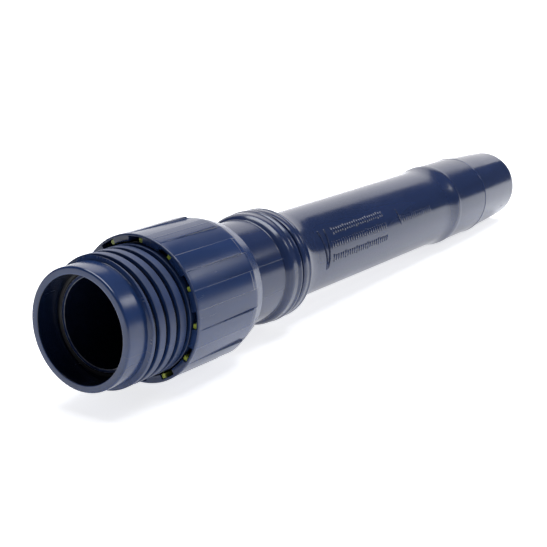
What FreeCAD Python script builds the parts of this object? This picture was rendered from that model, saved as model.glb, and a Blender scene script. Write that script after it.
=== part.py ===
import FreeCAD, Part
import os
import Sketcher

# Extension pipe of a suction pool cleaner. A long moulded pipe takes the hose on its rear end.
# Its neck carries a threaded spigot, a hand nut that runs on that thread, and a short inner
# pipe that slides in the mouth. X runs along the pipe, from the mouth (0) to the hose end.
# Z is up, and every piece is built around the X axis. Lengths are millimetres.

doc = FreeCAD.newDocument("extension_pipe")

DIMENSIONS = (
    ("mouth_bore", 25.05, "bore of the spigot and of the neck behind it"),
    ("rim_radius", 28.3, "front rim, where its rounded edge starts"),
    ("rim_round", 0.7, "length of the rounded edge of the rim"),
    ("collar_radius", 28.8, "smooth collar between the rim and the thread"),
    ("collar_end", 12.8, "where the collar meets the thread"),
    ("crest_radius", 31.2, "top of the thread"),
    ("root_radius", 28.85, "bottom of the thread's groove"),
    ("crest_gap", 1.55, "half the groove's width at the top"),
    ("root_gap", 1.25, "half the groove's width at the bottom"),
    ("pitch", 7.2, "advance of the nut in one turn"),
    ("groove_start", 7.4, "where the groove's centre line crosses the top line of the pipe"),
    ("groove_turns", 10.0, "turns of the groove, past both ends of the thread"),
    ("spigot_end", 74.0, "rear end of the spigot, the nut's front stop"),
    ("socket_start", 55.9, "front of the socket that is bonded over the neck"),
    ("socket_radius", 27.25, "inside of that socket"),
    ("seal_start", 13.4, "front side of the seal's groove"),
    ("seal_end", 17.0, "rear side of the seal's groove"),
    ("seal_groove_radius", 26.62, "bottom of the seal's groove"),
    ("seal_section", 1.6, "radius of the seal's round section"),
    ("neck_start", 56.0, "front end of the outer pipe, inside the socket"),
    ("neck_radius", 27.2, "outside of the neck that the nut slides along"),
    ("neck_end", 122.4, "where the neck starts to rise to the rings"),
    ("flange_radius", 30.1, "edge of the big ring"),
    ("flange_edge", 134.4, "place of that edge along the pipe"),
    ("wheel_groove_start", 135.1, "front side of the groove between the rings"),
    ("wheel_groove_end", 136.5, "rear side of that groove"),
    ("wheel_groove_radius", 27.8, "bottom of that groove"),
    ("small_ring_radius", 29.8, "top of the ring behind the groove"),
    ("small_ring_end", 143.6, "rear edge of that ring"),
    ("tube_radius", 24.06, "outside of the long tube"),
    ("tube_start", 165.0, "where the long tube reaches its own size"),
    ("tube_end", 314.0, "where the tube starts to flare to the cuff"),
    ("tube_bore", 21.4, "inside of the long tube and of the inner pipe"),
    ("flare_radius", 25.9, "crest of the flare in front of the cuff"),
    ("flare_crest", 328.2, "place of that crest"),
    ("cuff_start", 330.0, "front of the cuff's plain length"),
    ("cuff_radius", 25.4, "outside of the plain length that a hose end grips"),
    ("cuff_step", 368.0, "where the plain length ends and the taper starts"),
    ("taper_radius", 25.15, "front of the taper"),
    ("tip_radius", 22.8, "rear of the taper"),
    ("tip_round", 3.2, "length of the rounded tip"),
    ("pipe_end", 420.8, "hose end of the pipe"),
    ("hose_bore", 20.9, "inside of the pipe at the hose end"),
    ("hose_bore_start", 370.0, "how far in that bore runs"),
    ("seat", 144.6, "step that stops the inner pipe"),
    ("nut_front", 39.5, "front face of the nut, as it is set"),
    ("nut_end", 95.2, "rear face of the nut"),
    ("nut_front_radius", 35.8, "outside of the nut at its front"),
    ("nut_radius", 36.0, "outside of the nut's ribs at their rear"),
    ("rib_end", 83.3, "where the ribs end and the nut's rear cone starts"),
    ("nut_end_radius", 32.4, "outside of the nut's rear cone at its end"),
    ("grip_start", 44.0, "where the hollows between the ribs start"),
    ("grip_end", 90.0, "past the rear of those hollows"),
    ("grip_floor", 34.9, "bottom of the hollows at their rear"),
    ("grip_count", 12, "ribs, hollows, pockets and fingers round the nut"),
    ("grip_angle", 15.0, "width of one hollow, in degrees"),
    ("lug_radius", 32.0, "inside of the lugs at the nut's front"),
    ("pocket_radius", 34.4, "top of the pockets between the lugs"),
    ("pocket_end", 54.1, "bottom of the pockets, seen from the front"),
    ("pocket_angle", 14.0, "width of one pocket, in degrees"),
    ("core_start", 54.0, "front of the core's ring"),
    ("core_end", 70.0, "rear of the core's ring"),
    ("core_radius", 33.6, "outside of the core's ring"),
    ("core_bore", 31.5, "inside of the core's ring, clear of the thread"),
    ("core_gap", 0.05, "gap between the core and the shell moulded over it"),
    ("finger_front", 40.2, "tip of the core's fingers"),
    ("finger_inside", 32.1, "inside of the fingers"),
    ("finger_outside", 34.3, "outside of the fingers"),
    ("finger_angle", 4.2, "width of one finger, in degrees"),
    ("finger_turn", 4.7, "turn from a pocket's middle to its finger, in degrees"),
    ("ridge_start", 57.8, "where the core's thread crosses the top line of the pipe"),
    ("ridge_turns", 1.5, "turns of the core's thread"),
    ("ridge_tip_radius", 29.15, "tip of the core's thread"),
    ("ridge_tip", 0.92, "half its width at the tip"),
    ("ridge_base", 1.25, "half its width where it leaves the ring"),
    ("cavity_radius", 31.7, "inside of the nut behind the core"),
    ("nut_flange", 90.5, "front side of the nut's inner flange"),
    ("nut_bore", 28.38, "bore of that flange, which turns on the bush"),
    ("bush_bore", 27.28, "bore of the bush, which slides on the neck"),
    ("bush_radius", 28.3, "outside of the bush"),
    ("bush_start", 87.9, "front of the bush"),
    ("bush_flange_end", 90.3, "rear side of the bush's front flange"),
    ("bush_flange_radius", 30.8, "outside of that flange"),
    ("bush_lip_start", 95.4, "front side of the lip behind the nut"),
    ("bush_lip_radius", 30.0, "outside of that lip"),
    ("bush_end", 97.4, "rear of the bush"),
    ("inner_front", 13.5, "front end of the inner pipe, as it is set"),
    ("inner_radius", 23.3, "outside of the inner pipe"),
    ("inner_flange_start", 141.4, "front side of the inner pipe's flange"),
    ("inner_flange_radius", 24.8, "outside of that flange"),
    ("inner_end", 144.4, "rear end of the inner pipe"),
    ("guide_bore", 23.38, "bore of the guide rings, and the seal's inside"),
    ("guide_radius", 25.03, "outside of the guide rings"),
    ("front_guide_start", 28.0, "front side of the front guide ring"),
    ("front_guide_end", 40.0, "rear side of the front guide ring"),
    ("rear_guide_start", 80.0, "front side of the rear guide ring"),
    ("rear_guide_end", 92.0, "rear side of the rear guide ring, where the flange stops"),
    ("guide_split", 3.0, "width of the split in a guide ring"),
)

dims = doc.addObject("Spreadsheet::Sheet", "dims")
for row, (alias, number, meaning) in enumerate(DIMENSIONS, start=1):
    dims.set(f"A{row}", alias)
    dims.set(f"B{row}", str(number))
    dims.set(f"C{row}", meaning)
    dims.setAlias(f"B{row}", alias)
doc.recompute()


def origin_feature(body, role):
    """The body's own plane or axis with this role."""
    for feature in body.Origin.OriginFeatures:
        if feature.Role == role:
            return feature
    raise ValueError(role)


def new_body(name):
    body = doc.addObject("PartDesign::Body", name)
    body.Label = name
    return body


def outline(body, name, corners):
    """A closed sketch in the XZ plane. Each corner is a pair of expressions: along X, out from X.
    A sheet of the same name works out where each corner starts."""
    sheet = doc.addObject("Spreadsheet::Sheet", name + "_corners")
    for row, (along, out) in enumerate(corners, start=1):
        sheet.set(f"A{row}", "=" + along)
        sheet.set(f"B{row}", "=" + out)
    sheet.recompute()
    sketch = body.newObject("Sketcher::SketchObject", name)
    sketch.AttachmentSupport = (origin_feature(body, "XZ_Plane"), [""])
    sketch.MapMode = "FlatFace"
    points = []
    for row in range(1, len(corners) + 1):
        points.append(FreeCAD.Vector(float(sheet.get(f"A{row}")), float(sheet.get(f"B{row}")), 0))
    count = len(points)
    for i in range(count):
        sketch.addGeometry(Part.LineSegment(points[i], points[(i + 1) % count]), False)
    for i in range(count):
        sketch.addConstraint(Sketcher.Constraint("Coincident", i, 2, (i + 1) % count, 1))
    for i, (along, out) in enumerate(corners):
        if points[i].x == 0:
            sketch.addConstraint(Sketcher.Constraint("PointOnObject", i, 1, -2))
        else:
            index = sketch.addConstraint(Sketcher.Constraint("DistanceX", -1, 1, i, 1, points[i].x))
            sketch.setExpression(f"Constraints[{index}]", along)
        index = sketch.addConstraint(Sketcher.Constraint("DistanceY", -1, 1, i, 1, points[i].y))
        sketch.setExpression(f"Constraints[{index}]", out)
    return sketch


def add_feature(body, kind, name, sketch):
    """A turned feature of the body, made from the sketch around the X axis."""
    feature = body.newObject(f"PartDesign::{kind}", name)
    feature.Profile = sketch
    feature.ReferenceAxis = (sketch, ["H_Axis"])
    body.Tip = feature
    return feature


def turned(body, name, corners):
    """A ring or tube: the outline turned once round X."""
    sketch = outline(body, name + "_outline", corners)
    feature = add_feature(body, "Revolution", name, sketch)
    feature.Angle = 360
    doc.recompute()
    return feature


def repeated(body, feature, name):
    """The feature repeated evenly round X, once for each rib of the nut."""
    pattern = body.newObject("PartDesign::PolarPattern", name)
    pattern.Originals = [feature]
    pattern.Axis = (origin_feature(body, "X_Axis"), [""])
    pattern.Angle = 360
    pattern.setExpression("Occurrences", "dims.grip_count")
    body.Tip = pattern
    doc.recompute()
    return pattern


def helical(body, kind, name, corners, turns):
    """A thread form swept along the helix that the outline starts."""
    sketch = outline(body, name + "_outline", corners)
    feature = add_feature(body, kind, name, sketch)
    feature.Mode = "pitch-turns-angle"
    feature.setExpression("Pitch", "dims.pitch")
    feature.setExpression("Turns", turns)
    doc.recompute()
    return feature


def removed(body, before, name):
    """Check that a cut took material away."""
    if body.Shape.Volume >= before - 1.0:
        raise RuntimeError(f"{name} cut nothing from {body.Name}")


# The outer pipe: one moulding, from the neck inside the spigot's socket to the hose end.
outer_pipe = new_body("outer_pipe")
turned(
    outer_pipe,
    "pipe_wall",
    (
        ("dims.neck_start", "dims.mouth_bore"),
        ("dims.neck_start", "dims.neck_radius"),
        ("dims.neck_end", "dims.neck_radius"),
        ("dims.neck_end + 1", "dims.neck_radius + 0.25"),
        ("dims.neck_end + 2", "dims.neck_radius + 0.9"),
        ("dims.neck_end + 3.2", "dims.neck_radius + 1.7"),
        ("dims.neck_end + 5", "dims.flange_radius - 0.65"),
        ("dims.neck_end + 8", "dims.flange_radius - 0.2"),
        ("dims.flange_edge - 1.2", "dims.flange_radius"),
        ("dims.flange_edge", "dims.flange_radius"),
        ("dims.wheel_groove_start", "dims.wheel_groove_radius + 0.3"),
        ("dims.wheel_groove_start + 0.3", "dims.wheel_groove_radius"),
        ("dims.wheel_groove_end - 0.3", "dims.wheel_groove_radius"),
        ("dims.wheel_groove_end", "dims.wheel_groove_radius + 0.3"),
        ("dims.wheel_groove_end + 0.4", "dims.small_ring_radius - 0.5"),
        ("dims.wheel_groove_end + 1.4", "dims.small_ring_radius - 0.1"),
        ("dims.wheel_groove_end + 3", "dims.small_ring_radius"),
        ("dims.small_ring_end - 1.2", "dims.small_ring_radius - 0.1"),
        ("dims.small_ring_end", "dims.small_ring_radius - 0.7"),
        ("dims.small_ring_end + 1.8", "dims.tube_radius + 3.4"),
        ("dims.small_ring_end + 4.4", "dims.tube_radius + 2"),
        ("dims.small_ring_end + 7.6", "dims.tube_radius + 1.1"),
        ("dims.small_ring_end + 12", "dims.tube_radius + 0.35"),
        ("dims.tube_start", "dims.tube_radius"),
        ("dims.tube_end", "dims.tube_radius"),
        ("dims.tube_end + 5", "dims.tube_radius + 0.4"),
        ("dims.tube_end + 9", "dims.flare_radius - 0.8"),
        ("dims.flare_crest - 2.2", "dims.flare_radius - 0.15"),
        ("dims.flare_crest", "dims.flare_radius"),
        ("dims.cuff_start", "dims.cuff_radius"),
        ("dims.cuff_step", "dims.cuff_radius"),
        ("dims.cuff_step + 0.5", "dims.taper_radius"),
        ("dims.pipe_end - dims.tip_round", "dims.tip_radius"),
        ("dims.pipe_end - dims.tip_round / 3", "dims.tip_radius - 0.45"),
        ("dims.pipe_end", "dims.tip_radius - 1.1"),
        ("dims.pipe_end", "dims.hose_bore"),
        ("dims.hose_bore_start", "dims.hose_bore"),
        ("dims.hose_bore_start - 6", "dims.tube_bore"),
        ("dims.seat", "dims.tube_bore"),
        ("dims.seat", "dims.mouth_bore"),
    ),
)

# The spigot: a collar and a coarse thread, bonded over the front of the neck.
threaded_spigot = new_body("threaded_spigot")
turned(
    threaded_spigot,
    "spigot_wall",
    (
        ("0", "dims.mouth_bore"),
        ("0", "dims.rim_radius"),
        ("dims.rim_round / 3", "dims.collar_radius - 0.2"),
        ("dims.rim_round", "dims.collar_radius"),
        ("dims.collar_end", "dims.collar_radius"),
        ("dims.collar_end", "dims.crest_radius"),
        ("dims.spigot_end", "dims.crest_radius"),
        ("dims.spigot_end", "dims.socket_radius"),
        ("dims.socket_start", "dims.socket_radius"),
        ("dims.socket_start", "dims.mouth_bore"),
        ("dims.seal_end", "dims.mouth_bore"),
        ("dims.seal_end", "dims.seal_groove_radius"),
        ("dims.seal_start", "dims.seal_groove_radius"),
        ("dims.seal_start", "dims.mouth_bore"),
    ),
)
plain_volume = threaded_spigot.Shape.Volume
helical(
    threaded_spigot,
    "SubtractiveHelix",
    "thread_groove",
    (
        ("dims.groove_start - dims.root_gap", "dims.root_radius"),
        ("dims.groove_start + dims.root_gap", "dims.root_radius"),
        ("dims.groove_start + dims.crest_gap + 0.05", "dims.crest_radius + 0.4"),
        ("dims.groove_start - dims.crest_gap - 0.05", "dims.crest_radius + 0.4"),
    ),
    "dims.groove_turns",
)
removed(threaded_spigot, plain_volume, "thread_groove")

# The nut's shell: tapered grip ribs outside, lugs and pockets inside its front lip,
# and an inner flange at the rear that turns on the bush.
hand_nut = new_body("hand_nut")
turned(
    hand_nut,
    "nut_wall",
    (
        ("dims.nut_front", "dims.lug_radius"),
        ("dims.nut_front", "dims.nut_front_radius - 0.6"),
        ("dims.nut_front + 0.6", "dims.nut_front_radius"),
        ("dims.rib_end", "dims.nut_radius"),
        ("dims.nut_end - 0.4", "dims.nut_end_radius"),
        ("dims.nut_end", "dims.nut_end_radius - 0.4"),
        ("dims.nut_end", "dims.nut_bore"),
        ("dims.nut_flange", "dims.nut_bore"),
        ("dims.nut_flange", "dims.cavity_radius"),
        ("dims.core_end + dims.core_gap", "dims.cavity_radius"),
        ("dims.core_end + dims.core_gap", "dims.core_radius + dims.core_gap"),
        ("dims.core_start - dims.core_gap", "dims.core_radius + dims.core_gap"),
        ("dims.core_start - dims.core_gap", "dims.lug_radius"),
    ),
)
plain_volume = hand_nut.Shape.Volume
hollow_outline = outline(
    hand_nut,
    "hollow_outline",
    (
        ("dims.grip_start", "dims.nut_front_radius + 0.08"),
        ("dims.grip_end", "dims.grip_floor"),
        ("dims.grip_end", "dims.nut_radius + 1"),
        ("dims.grip_start", "dims.nut_radius + 1"),
    ),
)
hollow = add_feature(hand_nut, "Groove", "grip_hollow", hollow_outline)
hollow.Midplane = True
hollow.setExpression("Angle", "dims.grip_angle")
doc.recompute()
removed(hand_nut, plain_volume, "grip_hollow")
repeated(hand_nut, hollow, "grip_hollows")
plain_volume = hand_nut.Shape.Volume
pocket_outline = outline(
    hand_nut,
    "pocket_outline",
    (
        ("dims.nut_front - 1", "dims.lug_radius - 1"),
        ("dims.nut_front - 1", "dims.pocket_radius"),
        ("dims.pocket_end", "dims.pocket_radius"),
        ("dims.pocket_end", "dims.lug_radius - 1"),
    ),
)
pocket = add_feature(hand_nut, "Groove", "front_pocket", pocket_outline)
pocket.Midplane = True
pocket.setExpression("Angle", "dims.pocket_angle")
doc.recompute()
removed(hand_nut, plain_volume, "front_pocket")
repeated(hand_nut, pocket, "front_pockets")

# The nut's core: the ring with the inside thread, locked in the shell by its fingers.
nut_thread_core = new_body("nut_thread_core")
turned(
    nut_thread_core,
    "core_ring",
    (
        ("dims.core_start", "dims.core_bore"),
        ("dims.core_start", "dims.core_radius"),
        ("dims.core_end", "dims.core_radius"),
        ("dims.core_end", "dims.core_bore"),
    ),
)
helical(
    nut_thread_core,
    "AdditiveHelix",
    "core_thread",
    (
        ("dims.ridge_start - dims.ridge_tip", "dims.ridge_tip_radius"),
        ("dims.ridge_start + dims.ridge_tip", "dims.ridge_tip_radius"),
        ("dims.ridge_start + dims.ridge_base", "dims.core_bore + 0.3"),
        ("dims.ridge_start - dims.ridge_base", "dims.core_bore + 0.3"),
    ),
    "dims.ridge_turns",
)
finger_outline = outline(
    nut_thread_core,
    "finger_outline",
    (
        ("dims.finger_front", "dims.finger_inside"),
        ("dims.finger_front", "dims.finger_outside"),
        ("dims.core_start", "dims.finger_outside"),
        ("dims.core_start", "dims.core_radius - 0.2"),
        ("dims.core_start + 1", "dims.core_radius - 0.2"),
        ("dims.core_start + 1", "dims.finger_inside"),
    ),
)
finger = add_feature(nut_thread_core, "Revolution", "finger", finger_outline)
finger.Type = "TwoAngles"
finger.setExpression("Angle", "dims.finger_turn + dims.finger_angle / 2")
finger.setExpression("Angle2", "dims.finger_angle / 2 - dims.finger_turn")
doc.recompute()
repeated(nut_thread_core, finger, "fingers")

# The bush: clipped in the nut's rear flange, it slides along the neck and carries the nut.
nut_guide_bush = new_body("nut_guide_bush")
turned(
    nut_guide_bush,
    "bush_wall",
    (
        ("dims.bush_start", "dims.bush_bore"),
        ("dims.bush_start", "dims.bush_flange_radius"),
        ("dims.bush_flange_end", "dims.bush_flange_radius"),
        ("dims.bush_flange_end", "dims.bush_radius"),
        ("dims.bush_lip_start", "dims.bush_radius"),
        ("dims.bush_lip_start", "dims.bush_lip_radius"),
        ("dims.bush_end - 0.5", "dims.bush_lip_radius"),
        ("dims.bush_end", "dims.bush_lip_radius - 0.5"),
        ("dims.bush_end", "dims.bush_bore"),
    ),
)

# The inner pipe: slides out of the mouth until its rear flange meets the rear guide ring.
inner_pipe = new_body("inner_pipe")
turned(
    inner_pipe,
    "inner_wall",
    (
        ("dims.inner_front", "dims.tube_bore + 0.4"),
        ("dims.inner_front", "dims.inner_radius - 0.4"),
        ("dims.inner_front + 0.4", "dims.inner_radius"),
        ("dims.inner_flange_start", "dims.inner_radius"),
        ("dims.inner_flange_start", "dims.inner_flange_radius"),
        ("dims.inner_end", "dims.inner_flange_radius"),
        ("dims.inner_end", "dims.tube_bore"),
        ("dims.inner_front + 0.4", "dims.tube_bore"),
    ),
)

# Two split guide rings hold the inner pipe central in the spigot and in the neck.
for ring_name, front, rear in (
    ("front_guide_ring", "dims.front_guide_start", "dims.front_guide_end"),
    ("rear_guide_ring", "dims.rear_guide_start", "dims.rear_guide_end"),
):
    ring = new_body(ring_name)
    turned(
        ring,
        ring_name + "_wall",
        (
            (front, "dims.guide_bore"),
            (front, "dims.guide_radius"),
            (rear, "dims.guide_radius"),
            (rear, "dims.guide_bore"),
        ),
    )
    plain_volume = ring.Shape.Volume
    split_outline = outline(
        ring,
        ring_name + "_split_outline",
        (
            (front + " - 1", "dims.guide_bore - 1"),
            (front + " - 1", "dims.guide_radius + 1"),
            (rear + " + 1", "dims.guide_radius + 1"),
            (rear + " + 1", "dims.guide_bore - 1"),
        ),
    )
    split = ring.newObject("PartDesign::Pocket", ring_name + "_split")
    split.Profile = split_outline
    split.Midplane = True
    split.setExpression("Length", "dims.guide_split")
    ring.Tip = split
    doc.recompute()
    removed(ring, plain_volume, "split")

# The seal: a rubber ring between the spigot's bore and the inner pipe.
pipe_seal = doc.addObject("Part::Torus", "pipe_seal")
pipe_seal.Label = "pipe_seal"
pipe_seal.setExpression("Radius1", "dims.guide_bore + dims.seal_section")
pipe_seal.setExpression("Radius2", "dims.seal_section")
pipe_seal.Placement = FreeCAD.Placement(
    FreeCAD.Vector(0, 0, 0), FreeCAD.Rotation(FreeCAD.Vector(0, 1, 0), 90)
)
pipe_seal.setExpression("Placement.Base.x", "(dims.seal_start + dims.seal_end) / 2")

doc.recompute()

NODES = (
    outer_pipe,
    threaded_spigot,
    hand_nut,
    nut_thread_core,
    nut_guide_bush,
    inner_pipe,
    doc.getObject("front_guide_ring"),
    doc.getObject("rear_guide_ring"),
    pipe_seal,
)

for item in doc.Objects:
    if "Invalid" in item.State or "Error" in item.State:
        raise RuntimeError(f"{item.Name} is {item.State}")
for node in NODES:
    if node.Shape.isNull() or not node.Shape.isValid():
        raise RuntimeError(f"{node.Name} has no valid shape")

os.makedirs("parts", exist_ok=True)
for node in NODES:
    node.Shape.exportStep(f"parts/{node.Label}.step")
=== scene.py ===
import math
import bmesh
import bpy
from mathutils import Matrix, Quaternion, Vector


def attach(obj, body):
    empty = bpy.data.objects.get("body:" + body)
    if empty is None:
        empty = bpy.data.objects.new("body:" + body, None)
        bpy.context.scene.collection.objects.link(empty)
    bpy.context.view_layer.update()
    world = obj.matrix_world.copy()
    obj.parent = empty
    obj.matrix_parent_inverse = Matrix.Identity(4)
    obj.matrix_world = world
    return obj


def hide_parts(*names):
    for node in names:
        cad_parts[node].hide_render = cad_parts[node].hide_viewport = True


# The extension pipe of a suction pool cleaner. X runs from the mouth to the hose end, Z is up.
# Outlines are given in millimetres, as (along X, out from X), and the meshes are made in metres.
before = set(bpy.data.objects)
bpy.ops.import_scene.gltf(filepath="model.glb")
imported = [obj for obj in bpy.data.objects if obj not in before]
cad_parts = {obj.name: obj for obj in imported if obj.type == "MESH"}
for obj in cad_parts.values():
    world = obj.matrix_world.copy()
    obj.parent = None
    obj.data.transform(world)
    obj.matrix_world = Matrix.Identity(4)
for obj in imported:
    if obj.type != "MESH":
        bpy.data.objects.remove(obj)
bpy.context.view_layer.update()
MILLIMETRE = 0.001
scene = bpy.context.scene

# Camera: low on the mouth's left, looking back along the pipe.
CAMERA_PLACE = Vector((-0.3715, -0.3544, 0.1595))
CAMERA_ELEVATION = 14.79
CAMERA_AZIMUTH = -55.9
CAMERA_LENS = 79.8

camera_data = bpy.data.cameras.new("camera")
camera_data.lens = CAMERA_LENS
camera_data.sensor_width = 36.0
camera_data.clip_start = 0.01
camera_data.clip_end = 50.0
camera = bpy.data.objects.new("camera", camera_data)
camera.location = CAMERA_PLACE
camera.rotation_euler = (math.radians(90.0 - CAMERA_ELEVATION), 0.0, math.radians(CAMERA_AZIMUTH))
scene.collection.objects.link(camera)
scene.camera = camera

# Outer pipe: one glossy navy moulding. The neck carries the nut, the rings hold a bumper wheel
# between them, and the long tube flares into the plain and tapered end that a hose grips.
PIPE_WALL = (
    (56.0, 25.05, 0.3), (56.0, 27.2, 0.4),
    (122.9, 27.2, 0.5), (124.6, 28.75, 0.7), (126.9, 29.75, 1.3), (129.6, 29.6, 1.4),
    (131.6, 29.45, 0.9), (133.3, 30.12, 0.35), (134.5, 30.12, 0.2), (134.9, 27.8, 0.35),
    (136.8, 27.8, 0.35), (137.1, 29.3, 0.3), (138.8, 29.75, 1.2), (141.8, 29.45, 0.8),
    (142.7, 29.8, 0.2), (143.5, 29.75, 0.25), (144.2, 28.5, 0.4), (145.7, 27.2, 1.0),
    (148.6, 25.85, 1.6), (152.5, 24.9, 2.0),
    (158.0, 24.25, 3.0), (166.0, 24.06, 3.0),
    (314.0, 24.06, 6.0), (320.5, 24.7, 4.0), (325.5, 25.72, 3.0), (328.6, 25.88, 0.3),
    (329.3, 25.45, 0.35), (331.0, 25.38, 0.8), (366.9, 25.38, 0.2), (367.3, 25.62, 0.15),
    (367.9, 25.62, 0.12), (368.2, 25.08, 0.15), (384.0, 24.38, 6.0), (417.3, 22.82, 1.2),
    (420.1, 22.3, 0.9), (420.8, 21.5, 0.5), (420.8, 20.9, 0.3),
    (370.0, 20.9, 2.0), (364.0, 21.4, 2.0), (144.6, 21.4, 0.4), (144.6, 25.05, 0.3),
)
PIPE_SIDES = 216
NAVY = (0.0120, 0.0240, 0.0760)
NAVY_DEEP = (0.0090, 0.0190, 0.0600)
NAVY_PALE = (0.0450, 0.0560, 0.1000)
# Painted shade: the dark tone laid into bores, tight inside corners and thread grooves.
PAINTED_SHADE = (0.0020, 0.0030, 0.0070)
PIPE_SEAM = 67.5
NECK_SPAN = (96.0, 123.0)


def rounded(corners, steps=6):
    """The closed outline through the corners, each one rounded over its own length, as a list of
    (along, out, edge). The edge value is 1 in the middle of a tight outside corner, which the
    material rubs paler, -1 in a tight inside corner, where the material paints shade, and 0 on a
    run. The corners go forward along the outside, then back inside."""
    points = []
    count = len(corners)
    for i in range(count):
        here = Vector(corners[i][:2])
        before = Vector(corners[i - 1][:2]) - here
        after = Vector(corners[(i + 1) % count][:2]) - here
        reach = corners[i][2]
        start = here + before.normalized() * min(reach, before.length * 0.48)
        end = here + after.normalized() * min(reach, after.length * 0.48)
        bend = math.pi - before.angle(after)
        tight = min(1.0, bend / 1.2) * min(1.0, 0.6 / reach)
        if before.cross(after) < 0.0:
            tight = -tight
        for step in range(steps + 1):
            part = step / steps
            spot = start.lerp(here, part).lerp(here.lerp(end, part), part)
            edge = tight * (1.0 - abs(2.0 * part - 1.0))
            points.append((spot.x, spot.y, edge))
    return with_supports(points)


def with_supports(points, longest=9.0, close=0.35):
    """The same closed outline, with extra points near the ends of each long run and along it."""
    full = []
    count = len(points)
    for i in range(count):
        along, out, edge = points[i]
        next_along, next_out, _ = points[(i + 1) % count]
        full.append(points[i])
        length = math.hypot(next_along - along, next_out - out)
        if length <= 3 * close:
            continue
        inner = max(1, round((length - 2 * close) / longest))
        for k in range(inner + 1):
            part = (close + (length - 2 * close) * k / inner) / length
            full.append((along + (next_along - along) * part, out + (next_out - out) * part, 0.0))
    return full


def around(degrees):
    """Unit vector out from X, at this turn from the top towards the camera's side."""
    turn = math.radians(degrees)
    return Vector((0.0, -math.sin(turn), math.cos(turn)))


def lattice(name, columns, closed_round, merge=0.0):
    """A mesh from columns of (along, out, edge) points, each column at its own turn round X.
    Every column is a closed outline, and the columns close round X if the piece does."""
    mesh = bpy.data.meshes.new(name)
    work = bmesh.new()
    wear_and_shade = work.verts.layers.float.new("edge_wear_and_crease_shade")
    rows = []
    for turn, outline in columns:
        outward = around(turn)
        row = []
        for along, out, edge in outline:
            vertex = work.verts.new((Vector((along, 0.0, 0.0)) + outward * out) * MILLIMETRE)
            vertex[wear_and_shade] = edge
            row.append(vertex)
        rows.append(row)
    pairs = list(zip(rows, rows[1:]))
    if closed_round:
        pairs.append((rows[-1], rows[0]))
    for left, right in pairs:
        for j in range(len(left)):
            k = (j + 1) % len(left)
            work.faces.new((left[j], left[k], right[k], right[j]))
    if merge:
        bmesh.ops.remove_doubles(work, verts=work.verts, dist=merge)
        bmesh.ops.dissolve_degenerate(work, dist=merge, edges=work.edges)
    bmesh.ops.recalc_face_normals(work, faces=work.faces)
    for face in work.faces:
        face.smooth = True
    work.to_mesh(mesh)
    work.free()
    return mesh


def turned(name, corners, sides):
    """A turned piece: one rounded outline repeated all round X."""
    outline = rounded(corners)
    columns = [(360.0 * i / sides, outline) for i in range(sides)]
    return lattice(name, columns, closed_round=True)


def new_piece(name, mesh, material):
    """An object at the origin that shows the mesh in this material."""
    mesh.materials.clear()
    mesh.materials.append(material)
    piece = bpy.data.objects.new(name, mesh)
    scene.collection.objects.link(piece)
    return piece


class Nodes:
    """The node tree of one material, with short calls to add and join its nodes."""

    def __init__(self, material):
        material.use_nodes = True
        self.tree = material.node_tree
        self.tree.nodes.clear()
        self.output = self.tree.nodes.new("ShaderNodeOutputMaterial")
        self.shader = self.add("ShaderNodeBsdfPrincipled")
        self.join(self.shader, "BSDF", self.output, "Surface")
        self.place = self.add("ShaderNodeTexCoord")

    def add(self, kind, **settings):
        node = self.tree.nodes.new(kind)
        for key, value in settings.items():
            setattr(node, key, value)
        return node

    def join(self, source, output, target, input_name):
        self.tree.links.new(source.outputs[output], target.inputs[input_name])

    def maths(self, operation, first, second=None, third=None, clamp=False):
        """A Math node. Each argument is a number or a (node, output) pair."""
        node = self.add("ShaderNodeMath", operation=operation, use_clamp=clamp)
        for index, value in enumerate((first, second, third)):
            if value is None:
                continue
            if isinstance(value, tuple):
                self.join(value[0], value[1], node, index)
            else:
                node.inputs[index].default_value = value
        return (node, 0)

    def noise(self, scale, detail=2.0, roughness=0.5, stretch=(1.0, 1.0, 1.0)):
        """Noise on the piece's own coordinates, in metres, stretched along the axes."""
        mapping = self.add("ShaderNodeMapping")
        mapping.inputs["Scale"].default_value = stretch
        self.join(self.place, "Object", mapping, "Vector")
        texture = self.add("ShaderNodeTexNoise")
        texture.inputs["Scale"].default_value = scale
        texture.inputs["Detail"].default_value = detail
        texture.inputs["Roughness"].default_value = roughness
        self.join(mapping, "Vector", texture, "Vector")
        return (texture, "Fac")

    def between(self, value, low, high, from_low=0.0, from_high=1.0, smooth=True):
        """The value moved from one span to another, and kept inside it."""
        node = self.add("ShaderNodeMapRange", interpolation_type="SMOOTHSTEP" if smooth else "LINEAR")
        self.join(value[0], value[1], node, "Value")
        node.inputs["From Min"].default_value = from_low
        node.inputs["From Max"].default_value = from_high
        node.inputs["To Min"].default_value = low
        node.inputs["To Max"].default_value = high
        return (node, "Result")

    def blend(self, factor, first, second):
        """A colour mixed between two, where each is a colour or a (node, output) pair."""
        node = self.add("ShaderNodeMix", data_type="RGBA")
        self.join(factor[0], factor[1], node, 0)
        for index, value in ((6, first), (7, second)):
            if isinstance(value[0], float):
                node.inputs[index].default_value = (*value, 1.0)
            else:
                self.join(value[0], value[1], node, index)
        return (node, 2)

    def from_axis(self):
        """Distance out from X and turn round X, both from the piece's own coordinates."""
        split = self.add("ShaderNodeSeparateXYZ")
        self.join(self.place, "Object", split, "Vector")
        across = self.maths("MULTIPLY", (split, "Y"), -1.0)
        square = self.maths("MULTIPLY", across, across)
        square = self.maths("MULTIPLY_ADD", (split, "Z"), (split, "Z"), square)
        return self.maths("SQRT", square), self.maths("ARCTAN2", across, (split, "Z"))


def seam_mask(nodes, turn, seam_degrees, half_width_degrees):
    """1 along the moulding line at this turn round X, 0 away from it and on the far side."""
    offset = nodes.maths("SUBTRACT", turn, math.radians(seam_degrees))
    away = nodes.maths("ABSOLUTE", nodes.maths("SINE", nodes.maths("MULTIPLY", offset, 0.5)))
    edge = math.sin(math.radians(half_width_degrees) / 2.0)
    return nodes.between(away, 1.0, 0.0, 0.0, edge)


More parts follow.
